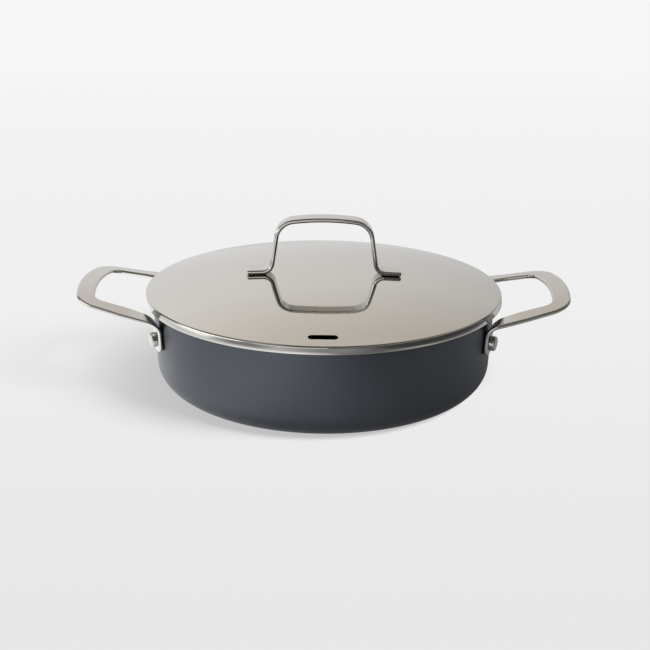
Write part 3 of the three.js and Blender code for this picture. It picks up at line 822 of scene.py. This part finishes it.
def side_handle_stations(settings, at):
    """Stations along half a loop handle, from the middle of the bar to the tip of a tab.

    The loop lies in a plane that rises outwards. Near the wall the strap's sections swing round to
    the line where that plane meets the tab's plane, and fold down about it.
    """
    handle, fineness = settings.side_handle, settings.fineness
    plane_out = Vector((cos(handle.slope), 0, sin(handle.slope)))
    plane_normal = Vector((-sin(handle.slope), 0, cos(handle.slope)))
    sideways = Vector((0, 1, 0))
    to_tab = Matrix.Rotation(handle.tab_angle, 3, "Z")
    along_wall = to_tab @ sideways
    tab_out = to_tab @ Vector((cos(at.draft), 0, -sin(at.draft)))
    fold_line = plane_normal.cross(tab_out).normalized()
    into_fold = plane_normal.cross(fold_line)
    fold_angle = plane_normal.angle(-tab_out)
    fold_run = handle.fold_radius * fold_angle

    arm_left = Vector((-sin(handle.arm_turn), -cos(handle.arm_turn)))
    fold_left = Vector((-fold_line.dot(plane_out), -fold_line.y))
    skew = atan2(arm_left.cross(fold_left), arm_left.dot(fold_left))

    def on_tab(z):
        return to_tab @ Vector((at.tab_radius(z), 0, z))

    fold_corner = on_tab(at.fold_z)

    def on_fold(share):
        turned = fold_angle * share
        inwards = sin(turned) - tan(fold_angle / 2)
        down = cos(turned) - 1
        return fold_corner + handle.fold_radius * (inwards * into_fold + down * plane_normal)

    side_step = on_fold(1).dot(along_wall) / fold_line.dot(along_wall)

    def fold_centre(share):
        drift = 0.5 * tan(skew) * fold_run * (1 - share) ** 2
        return on_fold(share) - (side_step + drift) * fold_line

    plane_z = at.fold_z - fold_corner.x * tan(handle.slope)
    arm_start = fold_centre(0)
    arm_start_out = arm_start.x / cos(handle.slope)
    bar_out = (at.outer_wall(at.rim_z) + handle.reach) / cos(handle.slope) - handle.bar_width / 2
    # The bar bows outwards as far round as it takes for the arms to run into the folds.
    bow = 0.0
    for _ in range(FITTING_ROUNDS):
        corner_out = handle.corner_radius * (cos(bow) - sin(handle.arm_turn))
        bow_out = handle.bow_radius * (1 - cos(bow))
        arm = (bar_out - bow_out - corner_out - arm_start_out) / cos(handle.arm_turn)
        corner_side = handle.corner_radius * cos(handle.arm_turn)
        bar_side = arm_start.y - arm * sin(handle.arm_turn) - corner_side
        bow = asin(bar_side / (handle.bow_radius - handle.corner_radius))
    corner_turn = pi / 2 - handle.arm_turn - bow
    loop = walk(
        (bar_out, 0),
        pi / 2,
        [
            (handle.bow_radius * bow, bow),
            (handle.corner_radius * corner_turn, corner_turn),
            (arm, 0.0),
        ],
        fineness.strap_step,
        fineness.strap_turn,
    )
    widths = [handle.bar_width, handle.bar_width, handle.arm_width, handle.root_width]
    stations = []
    for place in loop:
        to_fold = arm * (1 - place.share) if place.move == 2 else arm
        near = min(1.0, to_fold / handle.fold_lead)
        swing = skew * (1 - near * near * (3 - 2 * near))
        left = place.heading + pi / 2 + swing
        centre = Vector((0, place.point.y, plane_z)) + place.point.x * plane_out
        centre.z += (arm_start.y**2 - place.point.y**2) / (2 * handle.crown_radius)
        across = cos(left) * plane_out + sin(left) * sideways
        across.z -= across.y * near * place.point.y / handle.crown_radius
        across.normalize()
        width = widths[place.move] + (widths[place.move + 1] - widths[place.move]) * place.share
        stations.append((centre, across, width / 2 / cos(swing)))
    fold_steps = ceil(fold_angle / fineness.strap_turn)
    for i in range(1, fold_steps + 1):
        share = i / fold_steps
        left_over = atan(tan(skew) * (1 - share))
        width = handle.root_width + (handle.tab_width - handle.root_width) * share
        stations.append((fold_centre(share), -fold_line, width / 2 / cos(left_over)))
    stations.append((on_tab(at.tab_tip_z), -along_wall, handle.tab_width / 2))
    return stations


class SAUTEPAN_OT_side_handles(Operator):
    """Bends one loop handle, bores its tabs, and turns a copy of it to the other side"""

    bl_idname = "saute_pan.side_handles"
    bl_label = "Loop handles"

    def execute(self, context):
        settings = context.scene.saute_pan
        at = pan_layout(settings)
        handle, fineness = settings.side_handle, settings.fineness
        half = side_handle_stations(settings, at)
        mirror = Matrix.Diagonal((1, -1, 1))
        stations = [(mirror @ c, mirror @ a, w) for c, a, w in half[:0:-1]] + half
        left_rail = [c + a * w for c, a, w in stations]
        right_rail = [c - a * w for c, a, w in stations]
        right = start_line("loop_handle_right", left_rail[0])
        draw_line(left_rail)
        place_point(right_rail[0])
        draw_line(right_rail)
        bpy.ops.mesh.select_all(action="SELECT")
        bpy.ops.mesh.bridge_edge_loops()
        at_tip = lambda place: place.z < at.tab_tip_z + MERGE_DISTANCE
        ribbon_to_strap(right, handle, fineness, at_tip, handle.tab_tip, fineness.arc_steps)
        for angle in (-handle.tab_angle, handle.tab_angle):
            cut_out(right, rivet_drill(settings, at, angle))
        smooth(right)
        left = copy_of(right)
        rename(left, "loop_handle_left")
        turn_about_axis(left, pi)
        finish = strap_finish("polished_loop_handles", settings.finishes.strap_steel)
        dress(right, "pan", "right_handle", "handle_steel", finish)
        dress(left, "pan", "left_handle", "handle_steel", finish)
        return {"FINISHED"}


def rivet_profile(settings, at):
    """Outline of a rivet, from its inner head to its outer one. The middle of the tab is at height 0."""
    pan, rivet = settings.pan, settings.rivet
    steps = settings.fineness.arc_steps
    wall_radius = at.inner_wall(at.rivet_z)
    sag = wall_radius - sqrt(wall_radius**2 - rivet.inner_radius**2)
    tab_half = settings.side_handle.thickness / 2
    inner_base = -tab_half - pan.wall - 2 * pan.seat_gap - sag
    inner_top = inner_base - rivet.inner_height
    inner_edge = rivet.inner_height / 2
    head_base = tab_half + pan.seat_gap
    head_top = head_base + rivet.head_height
    edge = rivet.head_edge
    return [
        (0.0, inner_top),
        *arc(rivet.inner_radius - inner_edge, inner_top + inner_edge, inner_edge, -90, 0, steps),
        (rivet.inner_radius, inner_base),
        (rivet.shank_radius, inner_base),
        (rivet.shank_radius, head_base),
        (rivet.head_radius, head_base),
        *arc(rivet.head_radius - edge, head_top - edge, edge, 0, 90, steps),
        (0.0, head_top),
    ]


class SAUTEPAN_OT_rivets(Operator):
    """Turns one rivet and copies it to the other tabs"""

    bl_idname = "saute_pan.rivets"
    bl_label = "Rivets"

    def execute(self, context):
        settings = context.scene.saute_pan
        at = pan_layout(settings)
        profile = without_repeats(rivet_profile(settings, at))
        rivet = turn_piece("rivet", profile, settings.fineness.rivet_steps)
        smooth(rivet)
        rivet.rotation_euler.y = pi / 2 + at.draft
        rivet.location = (at.tab_radius(at.rivet_z), 0, at.rivet_z)
        pick(rivet)
        bpy.ops.object.transform_apply()
        copies = [rivet] + [copy_of(rivet) for _ in range(len(at.rivet_angles) - 1)]
        finish = rivet_finish(settings.finishes.rivet_steel)
        for copy, (place, angle) in zip(copies, at.rivet_angles.items()):
            rename(copy, f"pan_rivet_{place}")
            turn_about_axis(copy, angle)
            dress(copy, "pan", f"rivet_{place}", "rivet_metal", finish)
        return {"FINISHED"}


def lid_profile(settings, at):
    """Outline of the lid's sheet, from the axis under the dome round the lip to the top."""
    lid, fineness = settings.lid, settings.fineness
    steps = fineness.arc_steps
    rings = ceil(at.crease_radius / fineness.longest_run)

    def dome_line(radius, height):
        return [(radius * i / rings, height(radius * i / rings)) for i in range(rings + 1)]

    under = dome_line(at.crease_radius - lid.sheet, at.under_dome_z)
    over = dome_line(at.crease_radius, at.dome_z)[::-1]
    lip_z = over[0][1] - lid.skirt_height
    inner_lip = (at.lip_radius - lid.sheet, lip_z)
    outer_lip = (at.lip_radius, lip_z)
    # The skirt's bowed face starts and ends clear of the rounded lip and crease.
    past_lip, before_crease = 1.5 * lid.lip_radius, 1.1 * lid.crease_radius
    skirt = [
        point
        for point in bowed(outer_lip, over[0], lid.skirt_bulge, 2 * steps)
        if dist(point, outer_lip) > past_lip and dist(point, over[0]) > before_crease
    ]
    return [
        *under,
        *fillet(under[-1], inner_lip, outer_lip, lid.lip_radius, steps),
        *fillet(inner_lip, outer_lip, skirt[0], lid.lip_radius, steps),
        *skirt,
        *fillet(skirt[-1], over[0], over[1], lid.crease_radius, steps),
        *over[1:],
    ]


def vent_cutter(settings, at):
    """Oblong bar that stands through the lid's sheet."""
    lid = settings.lid
    clear_selection()
    bpy.ops.mesh.primitive_cylinder_add(
        vertices=settings.fineness.rivet_steps,
        radius=lid.vent_width / 2,
        depth=2 * lid.dome_rise,
        location=(0, -at.vent_radius, at.dome_z(at.vent_radius)),
    )
    cutter = bpy.context.object
    bpy.ops.object.transform_apply()
    half_run = (lid.vent_length - lid.vent_width) / 2
    for side in (-1, 1):
        select_vertices(cutter, lambda place: side * place.x > MERGE_DISTANCE)
        bpy.ops.transform.translate(value=(side * half_run, 0, 0))
        bpy.ops.object.mode_set(mode="OBJECT")
    return cutter


class SAUTEPAN_OT_lid(Operator):
    """Turns the lid's dome and skirt and cuts its steam vent"""

    bl_idname = "saute_pan.lid"
    bl_label = "Lid"

    def execute(self, context):
        settings = context.scene.saute_pan
        at = pan_layout(settings)
        profile = without_repeats(lid_profile(settings, at))
        lid = turn_piece("lid_dome", profile, settings.fineness.turn_steps)
        cut_out(lid, vent_cutter(settings, at))
        smooth(lid)
        finish = lid_finish(settings.finishes.lid_steel)
        dress(lid, "lid", "lid", "lid_steel", finish)
        return {"FINISHED"}


def lid_handle_line(settings, at):
    """Middle line of the lid handle's strap, from the middle of the grip to the end of a foot."""
    handle, fineness = settings.lid_handle, settings.fineness
    crown_turn = asin(handle.grip / 2 / handle.crown_radius)
    leg_turn = pi / 2 - handle.leg_lean
    seat = settings.pan.seat_gap + handle.thickness / 2
    top = (0.0, at.apex_z + handle.rise - handle.thickness / 2)

    def half_line(leg, foot_slope):
        moves = [
            (handle.crown_radius * crown_turn, -crown_turn),
            (handle.corner_radius * (leg_turn - crown_turn), crown_turn - leg_turn),
            (leg, 0.0),
            (handle.foot_bend * (leg_turn - foot_slope), leg_turn - foot_slope),
            (handle.foot_length, 0.0),
        ]
        return walk(top, 0.0, moves, fineness.strap_step, fineness.strap_turn)

    # The legs are as long as it takes for the feet to lie along the dome, one seat gap above it.
    leg = handle.rise / 2
    foot_slope = 0.0
    for _ in range(FITTING_ROUNDS):
        toe = half_line(leg, foot_slope)[-1].point
        middle_x = toe.x - handle.foot_length / 2 * cos(foot_slope)
        middle_z = toe.y + handle.foot_length / 2 * sin(foot_slope)
        leg += (middle_z - at.dome_z(middle_x) - seat / cos(foot_slope)) / cos(handle.leg_lean)
        foot_slope = at.dome_slope(middle_x)
    return [place.point for place in half_line(leg, foot_slope)]


class SAUTEPAN_OT_lid_handle(Operator):
    """Bends the strap handle on the lid"""

    bl_idname = "saute_pan.lid_handle"
    bl_label = "Lid handle"

    def execute(self, context):
        settings = context.scene.saute_pan
        handle, fineness = settings.lid_handle, settings.fineness
        half = lid_handle_line(settings, pan_layout(settings))
        line = [(-p.x, -handle.width / 2, p.y) for p in half[:0:-1]]
        line += [(p.x, -handle.width / 2, p.y) for p in half]
        grip = start_line("lid_grip", line[0])
        draw_line(line)
        bpy.ops.mesh.select_all(action="SELECT")
        bpy.ops.mesh.extrude_region_move(TRANSFORM_OT_translate={"value": (0, handle.width, 0)})
        at_toe = lambda place: abs(place.x) > half[-1].x - MERGE_DISTANCE
        ribbon_to_strap(grip, handle, fineness, at_toe, handle.foot_corner, fineness.edge_steps)
        smooth(grip)
        finish = strap_finish("polished_lid_handle", settings.finishes.strap_steel)
        dress(grip, "lid", "lid_handle", "handle_steel", finish)
        return {"FINISHED"}


def floor_finish(studio):
    """Plain pale floor that keeps the pan's shadow, seen through from below. Metal sees a painted reflection
    in its place.
    """
    finish, tree, shader = new_finish("studio_floor")
    place = add_node(tree, "ShaderNodeTexCoord").outputs["Object"]
    split = add_node(tree, "ShaderNodeSeparateXYZ", {"Vector": place}).outputs
    distance = add_node(tree, "ShaderNodeVectorMath", {0: place}, operation="LENGTH").outputs["Value"]
    axes = {"side": split["X"], "depth": split["Y"], "distance": distance}
    away = ranged(tree, axes["depth"], 0.0, 1.0, FLOOR_FRONT, FLOOR_BACK)
    tones = ((0.0, studio.floor_near), (FLOOR_MIDDLE, studio.floor_middle), (1.0, studio.floor_far))
    tone = coloured(tree, away, tones)
    tree.links.new(tone, shader.inputs["Base Color"])
    shader.inputs["Roughness"].default_value = 0.9
    shader.inputs["Specular IOR Level"].default_value = 0.0
    glow = add_node(tree, "ShaderNodeEmission", {"Color": tone}).outputs[0]
    ray = add_node(tree, "ShaderNodeLightPath").outputs
    share = ranged(tree, distance, studio.near_glow, studio.floor_glow, *SHADOW_RING, "SMOOTHSTEP")
    lit = mixed(tree, combined(tree, "MULTIPLY", ray["Is Camera Ray"], share), shader.outputs[0], glow)
    # Glossy rays see the painted reflection of the floor instead of its lit shading and real shadow
    top = mixed(tree, ray["Is Glossy Ray"], lit, painted_floor_reflection(tree, axes))
    below = add_node(tree, "ShaderNodeNewGeometry").outputs["Backfacing"]
    clear = add_node(tree, "ShaderNodeBsdfTransparent").outputs["BSDF"]
    tree.links.new(mixed(tree, below, top, clear), tree.nodes["Material Output"].inputs["Surface"])
    return finish


def painted_floor_reflection(tree, axes):
    """Painted reflection of the floor for metal: a painted glow, bright on the left, dim on the right,
    darker far off, with painted shadow round the pan.
    """
    share = {name: ramped(tree, axes, ramps) for name, ramps in FLOOR_SHARES.items()}
    undimmed = combined(tree, "SUBTRACT", 1.0, share["dim_right"])
    near = combined(tree, "MULTIPLY", graded(tree, axes["side"], NEAR_TONES), undimmed)
    bearing = combined(tree, "DIVIDE", axes["side"], axes["distance"])
    level = between(tree, share["far_off"], near, graded(tree, bearing, FAR_TONES))
    in_sight = combined(tree, "MAXIMUM", share["left_half"], share["clear_of_pan"])
    level = between(tree, combined(tree, "MULTIPLY", share["behind"], in_sight), level, BEHIND_TONE)
    # Painted shadow round the pan's foot, darker on its left than on its right
    painted_pan_shadow = between(tree, share["right_half"], share["painted_shadow_left"], share["painted_shadow_right"])
    level = combined(tree, "MULTIPLY", level, painted_pan_shadow)
    return add_node(tree, "ShaderNodeEmission", {"Color": (1, 1, 1, 1), "Strength": level}).outputs[0]


def light_world(studio):
    """Even sky for the floor, and a studio for metal to reflect: light behind and left, dark in front."""
    world = bpy.data.worlds.new("studio_sky")
    bpy.context.scene.world = world
    world.use_nodes = True
    tree = world.node_tree
    tree.nodes.clear()
    towards = add_node(tree, "ShaderNodeTexCoord").outputs["Generated"]
    split = add_node(tree, "ShaderNodeSeparateXYZ", {"Vector": towards}).outputs
    side, depth, height = (split[axis] for axis in "XYZ")
    backwards = combined(tree, "ADD", height, combined(tree, "MULTIPLY", depth, CEILING_SLANT))
    axes = {"side": side, "depth": depth, "height": height, "backwards": backwards}
    bright = 0.0
    for ramps in LIGHTS.values():
        bright = combined(tree, "MAXIMUM", bright, ramped(tree, axes, ramps))
    cooler_left = combined(tree, "MULTIPLY", combined(tree, "MINIMUM", side, 0.0), COOLER_LEFT)
    tint = coloured(tree, combined(tree, "ADD", height, cooler_left), WARMTH)

    def sky(colour, strength):
        return add_node(tree, "ShaderNodeBackground", {"Color": colour, "Strength": strength}).outputs[0]

    ray = add_node(tree, "ShaderNodeLightPath").outputs
    even = sky((1, 1, 1, 1), studio.sky_light)
    lit = mixed(tree, ray["Is Glossy Ray"], even, sky(tint, bright))
    straight = combined(tree, "MAXIMUM", ray["Is Camera Ray"], ray["Is Transmission Ray"])
    seen = mixed(tree, straight, lit, sky((*studio.floor_far, 1), 1.0))
    add_node(tree, "ShaderNodeOutputWorld", {"Surface": seen})


def add_key_light(studio):
    """Wide soft light from the right, which throws the pan's shadow on the floor."""
    clear_selection()
    bpy.ops.object.light_add(type="SUN")
    lamp = bpy.context.object
    lamp.name = "key_light"
    lamp.rotation_euler = (-Vector(KEY_DIRECTION)).to_track_quat("-Z", "Y").to_euler()
    lamp.data.energy = studio.key_light
    lamp.data.angle = studio.key_softness
    lamp.visible_glossy = False


def add_camera(studio):
    """Camera that sees the pan as the photograph does."""
    clear_selection()
    bpy.ops.object.camera_add()
    camera = bpy.context.object
    camera.name = "studio_camera"
    aim = Matrix.Translation((studio.aim_side, 0, studio.aim_height))
    lift = Matrix.Rotation(pi / 2 - studio.camera_rise, 4, "X")
    roll = Matrix.Rotation(studio.camera_roll, 4, "Z")
    camera.matrix_world = aim @ lift @ roll @ Matrix.Translation((0, 0, studio.camera_distance))
    camera.data.sensor_width = 36.0
    camera.data.lens = studio.lens
    camera.data.clip_start = 0.01
    camera.data.clip_end = 100.0
    bpy.context.scene.camera = camera


class SAUTEPAN_OT_stage(Operator):
    """Lays the floor, sets the light and places the camera"""

    bl_idname = "saute_pan.stage"
    bl_label = "Studio"

    def execute(self, context):
        studio = context.scene.saute_pan.studio
        context.scene.view_settings.view_transform = "Standard"
        clear_selection()
        bpy.ops.mesh.primitive_plane_add(size=FLOOR_SIZE)
        floor = context.object
        floor.name = "studio_floor"
        floor.data.materials.append(floor_finish(studio))
        light_world(studio)
        add_key_light(studio)
        add_camera(studio)
        return {"FINISHED"}


class SAUTEPAN_PT_settings(Panel):
    """Sizes, finishes and steps of the saute pan"""

    bl_idname = "SAUTEPAN_PT_settings"
    bl_label = "Saute pan"
    bl_space_type = "VIEW_3D"
    bl_region_type = "UI"
    bl_category = "Saute pan"

    def draw(self, context):
        settings = context.scene.saute_pan
        for group in SautePanSettings.__annotations__:
            sizes = getattr(settings, group)
            box = self.layout.box()
            box.label(text=group.replace("_", " ").capitalize())
            for key in sizes.__annotations__:
                box.prop(sizes, key)
        for step in STEPS:
            self.layout.operator(step.bl_idname)


SETTINGS = (
    PanSizes, LidSizes, LidHandleSizes, SideHandleSizes, RivetSizes,
    Fineness, Finishes, Studio, SautePanSettings,
)
STEPS = (
    SAUTEPAN_OT_body,
    SAUTEPAN_OT_base_plate,
    SAUTEPAN_OT_side_handles,
    SAUTEPAN_OT_rivets,
    SAUTEPAN_OT_lid,
    SAUTEPAN_OT_lid_handle,
    SAUTEPAN_OT_stage,
)


def register():
    for kind in (*SETTINGS, *STEPS, SAUTEPAN_PT_settings):
        bpy.utils.register_class(kind)
    bpy.types.Scene.saute_pan = PointerProperty(type=SautePanSettings)


def unregister():
    del bpy.types.Scene.saute_pan
    for kind in reversed((*SETTINGS, *STEPS, SAUTEPAN_PT_settings)):
        bpy.utils.unregister_class(kind)


def main():
    register()
    bpy.ops.saute_pan.body()
    bpy.ops.saute_pan.base_plate()
    bpy.ops.saute_pan.side_handles()
    bpy.ops.saute_pan.rivets()
    bpy.ops.saute_pan.lid()
    bpy.ops.saute_pan.lid_handle()
    bpy.ops.saute_pan.stage()
    clear_selection()


if __name__ == "__main__":
    main()
